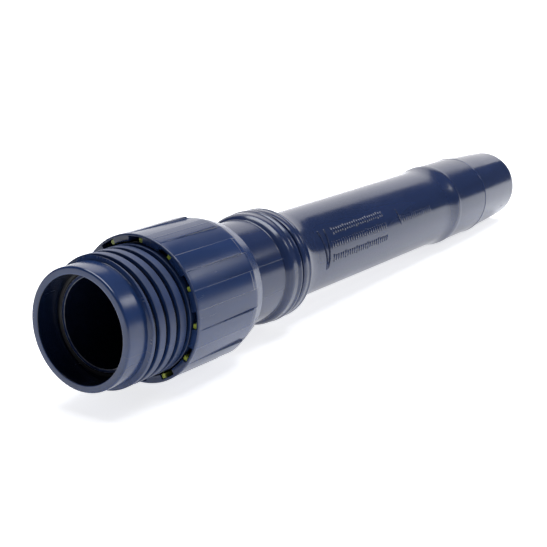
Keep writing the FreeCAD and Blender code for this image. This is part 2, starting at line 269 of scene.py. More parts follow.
def moulded_plastic(name, base, deep, pale, seam, bore, gloss=0.17, grain=None, seam_span=None):
    """Glossy moulded plastic. Flow streaks run along the piece, the gloss varies in soft patches
    and fine scratches, edges are rubbed paler, and a moulding line stands proud at one turn.
    Inside the bore's radius, in millimetres, and in tight inside corners, shade is painted in by
    darkening the plastic.
    A grain, if given as (from radius, to radius) in millimetres, dulls the plastic out there.
    A seam span, if given as (from, to) in millimetres, polishes the line nearly away elsewhere."""
    material = bpy.data.materials.new(name)
    nodes = Nodes(material)
    radius, turn = nodes.from_axis()
    streaks = nodes.noise(9.0, detail=3.0, stretch=(1.0, 7.0, 7.0))
    cloud = nodes.noise(26.0, detail=4.0, roughness=0.6)
    fine = nodes.noise(2600.0, detail=2.0)
    peel = nodes.noise(420.0, detail=1.0)
    scratch_field = nodes.noise(210.0, detail=6.0, roughness=0.75, stretch=(0.12, 1.0, 1.0))
    scratches = nodes.between(scratch_field, 0.0, 1.0, 0.62, 0.70)
    wear_and_shade = nodes.add("ShaderNodeAttribute", attribute_name="edge_wear_and_crease_shade")
    broken = nodes.between(nodes.noise(330.0, detail=3.0), 0.55, 1.0, 0.35, 0.65)
    rubbed = nodes.maths("MULTIPLY", (wear_and_shade, "Fac"), broken, clamp=True)
    seam_line = seam_mask(nodes, turn, seam, 0.75)
    if seam_span:
        split = nodes.add("ShaderNodeSeparateXYZ")
        nodes.join(nodes.place, "Object", split, "Vector")
        start, end = seam_span
        after = nodes.between((split, "X"), 0.0, 1.0, (start - 1.0) * MILLIMETRE, start * MILLIMETRE)
        before = nodes.between((split, "X"), 1.0, 0.06, end * MILLIMETRE, (end + 1.0) * MILLIMETRE)
        seam_line = nodes.maths("MULTIPLY", seam_line, nodes.maths("MULTIPLY", after, before))

    tone = nodes.blend(nodes.between(streaks, 0.0, 1.0, 0.3, 0.7), base, deep)
    tone = nodes.blend(nodes.between(rubbed, 0.0, 0.55), tone, pale)
    tone = nodes.blend(nodes.between(seam_line, 0.0, 0.45), tone, pale)
    # Painted shade: inside the bore's radius the colour is darkened.
    painted_bore_shade = nodes.between(radius, 0.8, 0.0, (bore + 0.1) * MILLIMETRE, (bore + 0.35) * MILLIMETRE)
    tone = nodes.blend(painted_bore_shade, tone, PAINTED_SHADE)
    # Painted shade: tight inside corners and thread grooves, marked below zero, are darkened.
    tone = nodes.blend(nodes.between((wear_and_shade, "Fac"), 0.85, 0.0, -1.0, 0.0), tone, PAINTED_SHADE)
    nodes.join(tone[0], tone[1], nodes.shader, "Base Color")

    dull = nodes.between(cloud, gloss - 0.03, gloss + 0.05, 0.3, 0.7)
    dull = nodes.maths("MULTIPLY_ADD", scratches, 0.10, dull)
    dull = nodes.maths("MULTIPLY_ADD", rubbed, 0.16, dull)
    height = nodes.maths("MULTIPLY", peel, 0.16)
    height = nodes.maths("MULTIPLY_ADD", fine, 0.05, height)
    height = nodes.maths("MULTIPLY_ADD", scratches, -0.10, height)
    height = nodes.maths("MULTIPLY_ADD", seam_line, 2.4, height)
    if grain:
        grained = nodes.between(radius, 0.0, 1.0, grain[0] * MILLIMETRE, grain[1] * MILLIMETRE)
        speckle = nodes.between(nodes.noise(1500.0, detail=3.0, roughness=0.7), 0.0, 1.0, 0.35, 0.65)
        dull = nodes.maths("MULTIPLY_ADD", grained, 0.24, dull)
        rough_top = nodes.maths("MULTIPLY", grained, speckle)
        height = nodes.maths("MULTIPLY_ADD", rough_top, 0.75, height)
    nodes.join(dull[0], dull[1], nodes.shader, "Roughness")
    bump = nodes.add("ShaderNodeBump")
    bump.inputs["Strength"].default_value = 0.35
    bump.inputs["Distance"].default_value = 0.00006
    nodes.join(height[0], height[1], bump, "Height")
    nodes.join(bump, "Normal", nodes.shader, "Normal")
    nodes.shader.inputs["IOR"].default_value = 1.5
    return material


pipe_plastic = moulded_plastic(
    "pipe_plastic", NAVY, NAVY_DEEP, NAVY_PALE, PIPE_SEAM, bore=21.4, seam_span=NECK_SPAN
)
outer_pipe = new_piece("outer_pipe", turned("outer_pipe", PIPE_WALL, PIPE_SIDES), pipe_plastic)
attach(outer_pipe, "pipe")
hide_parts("outer_pipe")

# Marks on the tube: a plain pointer towards the mouth and rows of raised ticks, moulded with the
# pipe, that show how far the hose or wheel has been moved. They stand 0.3 mm proud. A row is
# given as (along X to its first tick, degrees from the top, ticks), and a bar's corners likewise.
TUBE_RADIUS = 24.06
MARK_PROUD = 0.3
MARK_SINK = 0.25
MARK_SOFT_EDGE = 0.14
MARK_ROWS = ((179.5, 56.0, 23), (175.0, 73.0, 25), (175.5, 90.5, 25), (253.5, 72.5, 16))
MARK_PITCH = 2.45
TICK_HALF_WIDTH = 0.65
TICK_HALF_HEIGHT = 2.1
TICK_SOFT_EDGE = 0.16
TALL_TICK_EVERY = 5.0
SHORT_TICK = 0.76
POINTER_FRONT = 169.3
POINTER_TOP = 50.0
POINTER_TIP = 103.0
POINTER_LEGS = ((-3.2, -0.5), (3.2, 0.5))
POINTER_HALF_WIDTH = 0.5
POINTER_STEPS = 12
SLANT_FROM = (250.0, 56.0)
SLANT_TO = (252.5, 80.0)
SLANT_HALF_WIDTH = 0.45
SLANT_STEPS = 6


def group(name, inputs):
    """A Geometry Nodes tree with the piece's mesh first, then these named sizes."""
    tree = bpy.data.node_groups.new(name, "GeometryNodeTree")
    tree.interface.new_socket("Geometry", in_out="INPUT", socket_type="NodeSocketGeometry")
    for label, kind, value in inputs:
        socket = tree.interface.new_socket(label, in_out="INPUT", socket_type=kind)
        if value is not None:
            socket.default_value = value
    tree.interface.new_socket("Geometry", in_out="OUTPUT", socket_type="NodeSocketGeometry")
    return tree, tree.nodes.new("NodeGroupInput"), tree.nodes.new("NodeGroupOutput")


def node_maths(tree, operation, first, second=None):
    """A Math node in a tree. Each argument is a number or an output socket."""
    node = tree.nodes.new("ShaderNodeMath")
    node.operation = operation
    for index, value in enumerate((first, second)):
        if value is None:
            continue
        if isinstance(value, (int, float)):
            node.inputs[index].default_value = value
        else:
            tree.links.new(value, node.inputs[index])
    return node.outputs[0]


def tick_row_tree():
    """Repeats a flat tick along X, makes every fifth one full height and the others shorter,
    and wraps the row round the tube at its own turn."""
    tree, start, end = group(
        "tick_row",
        (
            ("Ticks", "NodeSocketInt", 10),
            ("Pitch", "NodeSocketFloat", 0.003),
            ("First", "NodeSocketFloat", 0.175),
            ("Turn", "NodeSocketFloat", 1.0),
            ("Tube Radius", "NodeSocketFloat", 0.024),
            ("Material", "NodeSocketMaterial", None),
        ),
    )
    links = tree.links
    line = tree.nodes.new("GeometryNodeMeshLine")
    first = tree.nodes.new("ShaderNodeCombineXYZ")
    step = tree.nodes.new("ShaderNodeCombineXYZ")
    links.new(start.outputs["First"], first.inputs["X"])
    links.new(start.outputs["Pitch"], step.inputs["X"])
    links.new(start.outputs["Ticks"], line.inputs["Count"])
    links.new(first.outputs[0], line.inputs["Start Location"])
    links.new(step.outputs[0], line.inputs["Offset"])
    index = tree.nodes.new("GeometryNodeInputIndex")
    fifth = node_maths(tree, "FLOORED_MODULO", index.outputs[0], TALL_TICK_EVERY)
    tall = node_maths(tree, "LESS_THAN", fifth, 0.5)
    taller = node_maths(tree, "MULTIPLY", tall, 1.0 - SHORT_TICK)
    height = node_maths(tree, "ADD", taller, SHORT_TICK)
    size = tree.nodes.new("ShaderNodeCombineXYZ")
    size.inputs["X"].default_value = 1.0
    size.inputs["Z"].default_value = 1.0
    links.new(height, size.inputs["Y"])
    copies = tree.nodes.new("GeometryNodeInstanceOnPoints")
    links.new(line.outputs["Mesh"], copies.inputs["Points"])
    links.new(start.outputs["Geometry"], copies.inputs["Instance"])
    links.new(size.outputs[0], copies.inputs["Scale"])
    solid = tree.nodes.new("GeometryNodeRealizeInstances")
    links.new(copies.outputs[0], solid.inputs[0])
    wrap = tree.nodes.new("GeometryNodeSetPosition")
    place = tree.nodes.new("GeometryNodeInputPosition")
    split = tree.nodes.new("ShaderNodeSeparateXYZ")
    links.new(place.outputs[0], split.inputs[0])
    arc = node_maths(tree, "DIVIDE", split.outputs["Y"], start.outputs["Tube Radius"])
    turn = node_maths(tree, "ADD", arc, start.outputs["Turn"])
    out = node_maths(tree, "ADD", split.outputs["Z"], start.outputs["Tube Radius"])
    sideways = node_maths(tree, "MULTIPLY", node_maths(tree, "SINE", turn), -1.0)
    wrapped = tree.nodes.new("ShaderNodeCombineXYZ")
    links.new(split.outputs["X"], wrapped.inputs["X"])
    links.new(node_maths(tree, "MULTIPLY", sideways, out), wrapped.inputs["Y"])
    links.new(node_maths(tree, "MULTIPLY", node_maths(tree, "COSINE", turn), out), wrapped.inputs["Z"])
    links.new(solid.outputs[0], wrap.inputs["Geometry"])
    links.new(wrapped.outputs[0], wrap.inputs["Position"])
    finish = tree.nodes.new("GeometryNodeSetMaterial")
    links.new(wrap.outputs[0], finish.inputs["Geometry"])
    links.new(start.outputs["Material"], finish.inputs["Material"])
    links.new(finish.outputs[0], end.inputs["Geometry"])
    return tree


def grown(name, mesh, tree, sizes):
    """The plain mesh that the tree makes from this mesh, with these values on its inputs."""
    seed = bpy.data.objects.new(name + "_seed", mesh)
    scene.collection.objects.link(seed)
    modifier = seed.modifiers.new("grow", "NODES")
    modifier.node_group = tree
    for item in tree.interface.items_tree:
        if item.in_out == "INPUT" and item.name in sizes:
            modifier[item.identifier] = sizes[item.name]
    bpy.context.view_layer.update()
    evaluated = seed.evaluated_get(bpy.context.evaluated_depsgraph_get())
    result = bpy.data.meshes.new_from_object(evaluated)
    result.name = name
    seed.modifiers.clear()
    bpy.data.objects.remove(seed)
    return result


def raised_bar(name, corners, proud, soft):
    """A flat-laid raised bar: the outline of (along, round) corners, with softened top edges."""
    mesh = bpy.data.meshes.new(name)
    work = bmesh.new()
    bottom = [work.verts.new(Vector((a, b, -MARK_SINK)) * MILLIMETRE) for a, b in corners]
    top = [work.verts.new(Vector((a, b, proud)) * MILLIMETRE) for a, b in corners]
    work.faces.new(list(reversed(bottom)))
    lid = work.faces.new(top)
    count = len(corners)
    for i in range(count):
        j = (i + 1) % count
        work.faces.new((bottom[i], bottom[j], top[j], top[i]))
    bmesh.ops.bevel(work, geom=list(lid.edges), offset=soft * MILLIMETRE, segments=2, affect="EDGES")
    bmesh.ops.recalc_face_normals(work, faces=work.faces)
    for face in work.faces:
        face.smooth = True
    work.to_mesh(mesh)
    work.free()
    return mesh


def joined(name, meshes):
    """One mesh from several."""
    work = bmesh.new()
    for mesh in meshes:
        work.from_mesh(mesh)
    mesh = bpy.data.meshes.new(name)
    work.to_mesh(mesh)
    work.free()
    return mesh


def wrapped_bar(name, corners):
    """A raised bar laid on the tube, from corners of (along, turn in degrees)."""
    flat = [(a, math.radians(turn) * TUBE_RADIUS) for a, turn in corners]
    mesh = raised_bar(name, flat, MARK_PROUD, MARK_SOFT_EDGE)
    for vertex in mesh.vertices:
        turn = math.degrees(vertex.co.y / (TUBE_RADIUS * MILLIMETRE))
        out = TUBE_RADIUS * MILLIMETRE + vertex.co.z
        vertex.co = Vector((vertex.co.x, 0.0, 0.0)) + around(turn) * out
    return mesh


tick_corners = (
    (-TICK_HALF_WIDTH, -TICK_HALF_HEIGHT), (TICK_HALF_WIDTH, -TICK_HALF_HEIGHT),
    (TICK_HALF_WIDTH, TICK_HALF_HEIGHT), (-TICK_HALF_WIDTH, TICK_HALF_HEIGHT),
)
tick = raised_bar("tick", tick_corners, MARK_PROUD, TICK_SOFT_EDGE)
tick_row = tick_row_tree()
mark_meshes = []
for row_number, (first_along, row_turn, ticks) in enumerate(MARK_ROWS):
    mark_meshes.append(
        grown(
            f"tick_row_{row_number}",
            tick.copy(),
            tick_row,
            {
                "Ticks": ticks,
                "Pitch": MARK_PITCH * MILLIMETRE,
                "First": first_along * MILLIMETRE,
                "Turn": math.radians(row_turn),
                "Tube Radius": TUBE_RADIUS * MILLIMETRE,
                "Material": pipe_plastic,
            },
        )
    )
for leg, (base_offset, tip_offset) in enumerate(POINTER_LEGS):
    left = []
    right = []
    for k in range(POINTER_STEPS + 1):
        part = k / POINTER_STEPS
        turn = POINTER_TOP + (POINTER_TIP - POINTER_TOP) * part
        along = POINTER_FRONT + base_offset + (tip_offset - base_offset) * part
        left.append((along - POINTER_HALF_WIDTH, turn))
        right.append((along + POINTER_HALF_WIDTH, turn))
    mark_meshes.append(wrapped_bar(f"pointer_leg_{leg}", left + right[::-1]))
slant = [
    (
        SLANT_FROM[0] + (SLANT_TO[0] - SLANT_FROM[0]) * k / SLANT_STEPS,
        SLANT_FROM[1] + (SLANT_TO[1] - SLANT_FROM[1]) * k / SLANT_STEPS,
    )
    for k in range(SLANT_STEPS + 1)
]
slant_left = [(along - SLANT_HALF_WIDTH, turn) for along, turn in slant]
slant_right = [(along + SLANT_HALF_WIDTH, turn) for along, turn in slant]
mark_meshes.append(wrapped_bar("slant_mark", slant_left + slant_right[::-1]))
tube_marks = new_piece("tube_marks", joined("tube_marks", mark_meshes), pipe_plastic)
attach(tube_marks, "pipe")

# Threaded spigot: a separate navy moulding bonded over the front of the neck. A smooth collar
# leads to a coarse right-hand thread with flat, finely grained crests.
COLLAR_RADIUS = 28.8
COLLAR_END = 12.8
CREST_RADIUS = 31.2
ROOT_RADIUS = 28.85
THREAD_PITCH = 7.2
THREAD_COILS = range(-1, 10)
GROOVE_AT_TOP = 7.4
GROOVE_HALF_WIDTH = 1.3
CREST_EDGE = (1.5, 1.9)
SPIGOT_END = 74.0
SPIGOT_SIDES = 240
SPIGOT_MERGE = 0.000001
GRIP_NAVY = (0.0125, 0.0320, 0.1050)
GRIP_NAVY_DEEP = (0.0095, 0.0250, 0.0830)
SPIGOT_SEAM = 106.0
SPIGOT_BORE = (
    (SPIGOT_END, 27.25), (55.9, 27.25), (55.9, 25.05), (40.0, 25.05), (25.0, 25.05), (17.0, 25.05),
    (17.0, 26.62), (13.4, 26.62), (13.4, 25.05), (12.8, 25.05), (6.0, 25.05), (1.0, 25.05),
    (0.5, 25.07), (0.22, 25.16), (0.05, 25.35), (0.0, 25.7), (0.0, 26.6), (0.0, 27.5),
    (0.03, 28.0), (0.14, 28.35), (0.35, 28.6), (0.7, 28.76), (1.2, COLLAR_RADIUS),
    (4.0, COLLAR_RADIUS), (8.0, COLLAR_RADIUS), (11.6, COLLAR_RADIUS), (12.2, COLLAR_RADIUS + 0.02),
    (12.6, COLLAR_RADIUS + 0.12), (COLLAR_END, COLLAR_RADIUS + 0.35),
)
GROOVE_SECTION = (
    (0.0, ROOT_RADIUS), (0.95, ROOT_RADIUS + 0.01), (1.17, ROOT_RADIUS + 0.08),
    (1.27, ROOT_RADIUS + 0.3), (1.4, 30.3), (1.48, 30.85), (1.56, 31.08), (1.7, 31.18),
    (1.95, CREST_RADIUS), (2.7, CREST_RADIUS),
)


def thread_height(across):
    """Height of the thread at this distance from the middle of its groove, along X."""
    away = abs(across)
    for (near, low), (far, high) in zip(GROOVE_SECTION, GROOVE_SECTION[1:]):
        if away <= far:
            return low + (high - low) * (away - near) / (far - near)
    return CREST_RADIUS


def spigot_column(turn):
    """The spigot's closed outline at this turn: the bore and collar, then every turn of the thread
    that lies between the shoulder and the rear end."""
    points = [(along, out, 0.0) for along, out in SPIGOT_BORE]
    groove = GROOVE_AT_TOP + THREAD_PITCH * turn / 360.0
    half = [step[0] for step in GROOVE_SECTION]
    across_steps = [-a for a in reversed(half[1:])] + half + [THREAD_PITCH / 2.0]
    for coil in THREAD_COILS:
        middle = groove + THREAD_PITCH * coil
        for across in across_steps:
            along = min(max(middle + across, COLLAR_END), SPIGOT_END)
            nearest = (along - groove + THREAD_PITCH / 2.0) % THREAD_PITCH - THREAD_PITCH / 2.0
            edge = 1.0 if CREST_EDGE[0] < abs(across) < CREST_EDGE[1] else 0.0
            # Painted shade: the groove's bottom is marked -1, which the material darkens.
            if abs(across) < GROOVE_HALF_WIDTH and COLLAR_END < along < SPIGOT_END:
                edge = -1.0
            points.append((along, thread_height(nearest), edge))
    return points


spigot_turns = [360.0 * i / SPIGOT_SIDES for i in range(SPIGOT_SIDES + 1)]
spigot_columns = [(turn, spigot_column(turn)) for turn in spigot_turns]
spigot_plastic = moulded_plastic(
    "spigot_plastic", GRIP_NAVY, GRIP_NAVY_DEEP, NAVY_PALE, SPIGOT_SEAM,
    bore=25.05, gloss=0.19, grain=(30.9, 31.15),
)
threaded_spigot = new_piece(
    "threaded_spigot",
    lattice("threaded_spigot", spigot_columns, closed_round=False, merge=SPIGOT_MERGE),
    spigot_plastic,
)
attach(threaded_spigot, "pipe")
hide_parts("threaded_spigot")

# Hand nut: the navy grip shell. One twelfth of it is made, with a hollow between two half ribs
# outside and a pocket between two half lugs inside, and repeated round the pipe.
NUT_FRONT = 39.5
NUT_END = 95.2
RIB_END = 83.3
RIB_FRONT_RADIUS = 35.8
RIB_RADIUS = 36.0
CONE_SLOPE = 0.313
CONE_DIP = 0.8
CONE_DIP_MIDDLE = 0.9
CONE_DIP_LENGTH = 3.2
HOLLOW_FRONT = 41.0
HOLLOW_FRONT_DEPTH = 0.12
HOLLOW_RADIUS = 34.9
HOLLOW_END = 90.0
HALF_HOLLOW = 7.5
HALF_POCKET = 7.0
SIDE_STEP = 0.42
LUG_RADIUS = 32.0
POCKET_RADIUS = 34.4
POCKET_END = 54.1
CORE_SEAT = 33.65
CORE_STOP = 70.05
NUT_CAVITY = 31.7
NUT_REAR_WALL = 90.5
NUT_BUSH_BORE = 28.38
NUT_SEAM = 15.0
NUT_MERGE = 0.000005
HOLLOW_DISH = 0.0018
RIDGE_ROUNDING = 0.3
POCKET_SIDE = 0.12
GRIPS = 12
NUT_ALONG = (
    41.0, 42.5, 45.0, 48.5, 52.0, 56.0, 60.0, 64.0, 68.0, 72.0, 76.0, 79.5, 81.3, 82.4, 82.9, 83.2,
    83.45, 83.8, 84.2, 84.7, 85.4, 86.0, 86.7, 87.2, 87.5, 87.8, 88.1, 88.6, 89.4, 90.6, 92.0, 93.2,
    94.0,
)
NUT_TURNS = (
    0.0, 1.5, 3.0, 4.5, 5.7, 6.4, 6.75, 6.95, 7.05, 7.2, 7.3, 7.4, 7.5, 7.6, 7.7, 7.82, 8.05, 8.5,
    9.4, 11.0, 13.0, 15.0,
)


def soft_least(first, second, soft):
    """The smaller of two values, rounded where they meet."""
    gap = max(0.0, 1.0 - abs(first - second) / soft)
    return min(first, second) - gap * gap * soft * 0.25


def nut_outside(along, away):
    """Radius of the shell at this place and this turn from the middle of a hollow."""
    growth = (along - NUT_FRONT) / (RIB_END - NUT_FRONT)
    rib = RIB_FRONT_RADIUS + (RIB_RADIUS - RIB_FRONT_RADIUS) * min(growth, 1.0)
    cone = RIB_RADIUS - CONE_SLOPE * (along - RIB_END)
    past = along - RIB_END
    sunk = CONE_DIP * max(0.0, min(past / CONE_DIP_MIDDLE, (CONE_DIP_LENGTH - past) / CONE_DIP_LENGTH))
    rib = soft_least(rib, cone, RIDGE_ROUNDING) - sunk
    drop = (along - HOLLOW_FRONT) / (HOLLOW_END - HOLLOW_FRONT)
    hollow = RIB_FRONT_RADIUS - HOLLOW_FRONT_DEPTH + (HOLLOW_RADIUS - RIB_FRONT_RADIUS) * drop
    hollow = soft_least(hollow, cone - sunk, RIDGE_ROUNDING)
    flat = (HALF_HOLLOW ** 2 - away ** 2) * HOLLOW_DISH if away < HALF_HOLLOW else 0.0
    hollow = min(hollow - flat * min(1.0, max(0.0, drop * 3.0)), rib)
    side = min(1.0, max(0.0, (HALF_HOLLOW + SIDE_STEP - away) / (2.0 * SIDE_STEP)))
    side = side * side * (3.0 - 2.0 * side)
    return rib + (hollow - rib) * side


def nut_column(turn):
    """The shell's closed outline at this turn from the middle of a hollow."""
    away = abs(turn)
    step = min(1.0, max(0.0, (HALF_POCKET + POCKET_SIDE / 2.0 - away) / POCKET_SIDE))
    mouth = LUG_RADIUS + (POCKET_RADIUS - LUG_RADIUS) * step
    side = 1.0 if abs(away - HALF_HOLLOW - 0.25) < 0.3 else 0.0
    points = [
        (NUT_FRONT + 0.3, mouth, 0.3), (NUT_FRONT + 0.08, mouth + 0.1, 0.6),
        (NUT_FRONT, mouth + 0.3, 0.3), (NUT_FRONT, (mouth + 35.0) / 2.0, 0.0),
        (NUT_FRONT, 34.95, 0.0), (NUT_FRONT + 0.02, 35.2, 0.4), (NUT_FRONT + 0.12, 35.48, 0.8),
        (NUT_FRONT + 0.32, 35.68, 1.0), (NUT_FRONT + 0.65, 35.78, 0.4),
    ]
    for along in NUT_ALONG:
        ridge = 0.9 if 82.8 < along < 83.8 and away > HALF_HOLLOW else 0.0
        shoulder = 0.9 if 87.1 < along < 88.2 and away < HALF_HOLLOW else 0.0
        edge = side * min(1.0, max(0.0, (along - 46.0) / 20.0)) if along < 88.0 else 0.0
        points.append((along, nut_outside(along, away), max(ridge, shoulder, edge)))
    points += [
        (94.5, 32.5, 0.0), (94.75, 32.38, 0.4), (94.95, 32.2, 0.9), (95.1, 31.95, 0.9),
        (NUT_END, 31.6, 0.3), (NUT_END, 30.2, 0.0), (NUT_END, 28.6, 0.0),
        (95.05, NUT_BUSH_BORE, 0.3), (94.0, NUT_BUSH_BORE, 0.0), (90.8, NUT_BUSH_BORE, 0.0),
        (NUT_REAR_WALL, 28.5, 0.0), (NUT_REAR_WALL, 30.0, 0.0), (NUT_REAR_WALL, NUT_CAVITY, 0.0),
        (80.0, NUT_CAVITY, 0.0), (CORE_STOP, NUT_CAVITY, 0.0), (CORE_STOP, CORE_SEAT, 0.0),
        (62.0, CORE_SEAT, 0.0), (54.6, CORE_SEAT, 0.0),
        (POCKET_END - 0.02, CORE_SEAT + 0.72 * step, 0.0),
        (POCKET_END - 0.15, CORE_SEAT + (mouth - CORE_SEAT) * 0.98, 0.0),
        (53.9, mouth, 0.0), (50.0, mouth, 0.0), (45.0, mouth, 0.0),
    ]
    return points


def repeat_tree():
    """Repeats the piece's mesh evenly round X and merges the copies where they touch."""
    tree, start, end = group(
        "repeat_round_pipe",
        (
            ("Count", "NodeSocketInt", GRIPS),
            ("Merge", "NodeSocketFloat", NUT_MERGE),
            ("Material", "NodeSocketMaterial", None),
        ),
    )
    links = tree.links
    line = tree.nodes.new("GeometryNodeMeshLine")
    line.inputs["Offset"].default_value = (0.0, 0.0, 0.0)
    links.new(start.outputs["Count"], line.inputs["Count"])
    index = tree.nodes.new("GeometryNodeInputIndex")
    share = node_maths(tree, "DIVIDE", 2.0 * math.pi, start.outputs["Count"])
    spin = tree.nodes.new("ShaderNodeCombineXYZ")
    links.new(node_maths(tree, "MULTIPLY", index.outputs[0], share), spin.inputs["X"])
    copies = tree.nodes.new("GeometryNodeInstanceOnPoints")
    links.new(line.outputs["Mesh"], copies.inputs["Points"])
    links.new(start.outputs["Geometry"], copies.inputs["Instance"])
    links.new(spin.outputs[0], copies.inputs["Rotation"])
    solid = tree.nodes.new("GeometryNodeRealizeInstances")
    links.new(copies.outputs[0], solid.inputs[0])
    merge = tree.nodes.new("GeometryNodeMergeByDistance")
    links.new(solid.outputs[0], merge.inputs["Geometry"])
    links.new(start.outputs["Merge"], merge.inputs["Distance"])
    finish = tree.nodes.new("GeometryNodeSetMaterial")
    links.new(merge.outputs[0], finish.inputs["Geometry"])
    links.new(start.outputs["Material"], finish.inputs["Material"])
    links.new(finish.outputs[0], end.inputs["Geometry"])
    return tree


sector_turns = [-turn for turn in reversed(NUT_TURNS[1:])] + list(NUT_TURNS)
sector_columns = [(turn, nut_column(turn)) for turn in sector_turns]
nut_sector = lattice("nut_sector", sector_columns, closed_round=False)
nut_plastic = moulded_plastic(
    "nut_plastic", GRIP_NAVY, GRIP_NAVY_DEEP, NAVY_PALE, NUT_SEAM, bore=NUT_CAVITY + 0.1, gloss=0.2
)
repeat_round_pipe = repeat_tree()
nut_repeats = {"Count": GRIPS, "Merge": NUT_MERGE, "Material": nut_plastic}
nut_mesh = grown("hand_nut", nut_sector, repeat_round_pipe, nut_repeats)
hand_nut = new_piece("hand_nut", nut_mesh, nut_plastic)
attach(hand_nut, "nut")
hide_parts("hand_nut")

# Nut core: a tough yellow-green ring with the inside thread, moulded first and locked in the shell
# by twelve fingers. Only the finger tips show, at one end of each pocket.
CORE_FRONT = 54.0
CORE_END = 70.0
CORE_BORE = 31.5
CORE_RADIUS = 33.6
CORE_SIDES = 144
FINGER_FRONT = 40.2
FINGER_INSIDE = 32.1
FINGER_OUTSIDE = 34.3
FINGER_TURNS = (2.6, 6.8)
FINGER_SOFT_EDGE = 0.25
FINGER_ROOT = 0.4
FINGER_MERGE = 0.0000001
LIME = (0.44, 0.50, 0.075)
LIME_DEEP = (0.30, 0.36, 0.045)
RIDGE_AT_TOP = 57.8
RIDGE_TURNS = 1.5
RIDGE_STEPS = 180
RIDGE_SECTION = (
    (-1.3, 31.7), (-1.22, 31.4), (-0.95, 29.3), (-0.8, 29.17), (0.0, 29.15),
    (0.8, 29.17), (0.95, 29.3), (1.22, 31.4), (1.3, 31.7),
)


def satin_plastic(name, base, deep, dullness, grain_height):
    """Satin moulded plastic: soft tone changes, a fine matt grain and a little dust in the grain."""
    material = bpy.data.materials.new(name)
    nodes = Nodes(material)
    cloud = nodes.noise(60.0, detail=4.0)
    grain_field = nodes.noise(1400.0, detail=3.0, roughness=0.6)
    tone = nodes.blend(nodes.between(cloud, 0.0, 1.0, 0.3, 0.7), base, deep)
    tone = nodes.blend(nodes.between(grain_field, 0.0, 0.35, 0.55, 0.75), tone, deep)
    nodes.join(tone[0], tone[1], nodes.shader, "Base Color")
    dull = nodes.between(cloud, dullness - 0.05, dullness + 0.08, 0.3, 0.7)
    nodes.join(dull[0], dull[1], nodes.shader, "Roughness")
    bump = nodes.add("ShaderNodeBump")
    bump.inputs["Strength"].default_value = 0.4
    bump.inputs["Distance"].default_value = grain_height
    nodes.join(grain_field[0], grain_field[1], bump, "Height")
    nodes.join(bump, "Normal", nodes.shader, "Normal")
    return material


def core_finger():
    """One finger of the core, with softened edges, reaching forward from the ring."""
    mesh = bpy.data.meshes.new("core_finger")
    work = bmesh.new()
    ends = []
    for along in (FINGER_FRONT, CORE_FRONT + FINGER_ROOT):
        ring = []
        for out, turn in (
            (FINGER_INSIDE, FINGER_TURNS[0]), (FINGER_OUTSIDE, FINGER_TURNS[0]),
            (FINGER_OUTSIDE, FINGER_TURNS[1]), (FINGER_INSIDE, FINGER_TURNS[1]),
        ):
            reach = min(out, CORE_RADIUS - 0.05) if along > CORE_FRONT else out
            place = Vector((along, 0.0, 0.0)) + around(turn) * reach
            ring.append(work.verts.new(place * MILLIMETRE))
        ends.append(ring)
    front, rear = ends
    lid = work.faces.new(front)
    work.faces.new(list(reversed(rear)))
    for i in range(4):
        j = (i + 1) % 4
        work.faces.new((front[j], front[i], rear[i], rear[j]))
    soft_edges = list(lid.edges)
    for vertex in front:
        soft_edges += [edge for edge in vertex.link_edges if edge not in lid.edges]
    soft = FINGER_SOFT_EDGE * MILLIMETRE
    bmesh.ops.bevel(work, geom=soft_edges, offset=soft, segments=3, affect="EDGES")
    bmesh.ops.recalc_face_normals(work, faces=work.faces)
    work.to_mesh(mesh)
    work.free()
    return mesh


def core_thread():
    """The inside thread: one and a half turns of a ridge that follows the spigot's groove."""
    mesh = bpy.data.meshes.new("core_thread")
    work = bmesh.new()
    rows = []
    for k in range(RIDGE_STEPS + 1):
        turn = 360.0 * RIDGE_TURNS * k / RIDGE_STEPS
        middle = RIDGE_AT_TOP + THREAD_PITCH * turn / 360.0
        row = [
            work.verts.new((Vector((middle + across, 0.0, 0.0)) + around(turn) * out) * MILLIMETRE)
            for across, out in RIDGE_SECTION
        ]
        rows.append(row)
    count = len(RIDGE_SECTION)
    for left, right in zip(rows, rows[1:]):
        for j in range(count):
            k = (j + 1) % count
            work.faces.new((left[j], left[k], right[k], right[j]))
    work.faces.new(rows[0])
    work.faces.new(list(reversed(rows[-1])))
    bmesh.ops.recalc_face_normals(work, faces=work.faces)
    for face in work.faces:
        face.smooth = len(face.verts) == 4
    work.to_mesh(mesh)
    work.free()
    return mesh


core_plastic = satin_plastic("core_plastic", LIME, LIME_DEEP, 0.42, 0.00003)
finger_repeats = {"Count": GRIPS, "Merge": FINGER_MERGE, "Material": core_plastic}
finger_mesh = grown("core_fingers", core_finger(), repeat_round_pipe, finger_repeats)
core_ring_wall = (
    (CORE_FRONT, CORE_BORE, 0.3), (CORE_FRONT, CORE_RADIUS, 0.2),
    (CORE_END, CORE_RADIUS, 0.2), (CORE_END, CORE_BORE, 0.3),
)
core_ring = turned("core_ring", core_ring_wall, CORE_SIDES)
core_mesh = joined("nut_thread_core", [core_ring, finger_mesh, core_thread()])
nut_core = new_piece("nut_thread_core", core_mesh, core_plastic)
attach(nut_core, "nut")
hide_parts("nut_thread_core")

# Guide bush: a thin navy sleeve clipped in the nut's rear wall. The nut turns on it, and it slides
# along the neck with the nut. Its lip can be seen only from behind.
BUSH_WALL = (
    (87.9, 27.28, 0.3), (87.9, 30.8, 0.3), (90.3, 30.8, 0.3), (90.3, 28.3, 0.15),
    (95.4, 28.3, 0.15), (95.4, 30.0, 0.3), (97.4, 30.0, 0.55), (97.4, 27.28, 0.25),
)
BUSH_SIDES = 168
BUSH_SEAM = -40.0
bush_plastic = moulded_plastic(
    "bush_plastic", NAVY, NAVY_DEEP, NAVY_PALE, BUSH_SEAM, bore=27.3, gloss=0.24
)
bush_mesh = turned("nut_guide_bush", BUSH_WALL, BUSH_SIDES)
guide_bush = new_piece("nut_guide_bush", bush_mesh, bush_plastic)
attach(guide_bush, "bush")
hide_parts("nut_guide_bush")
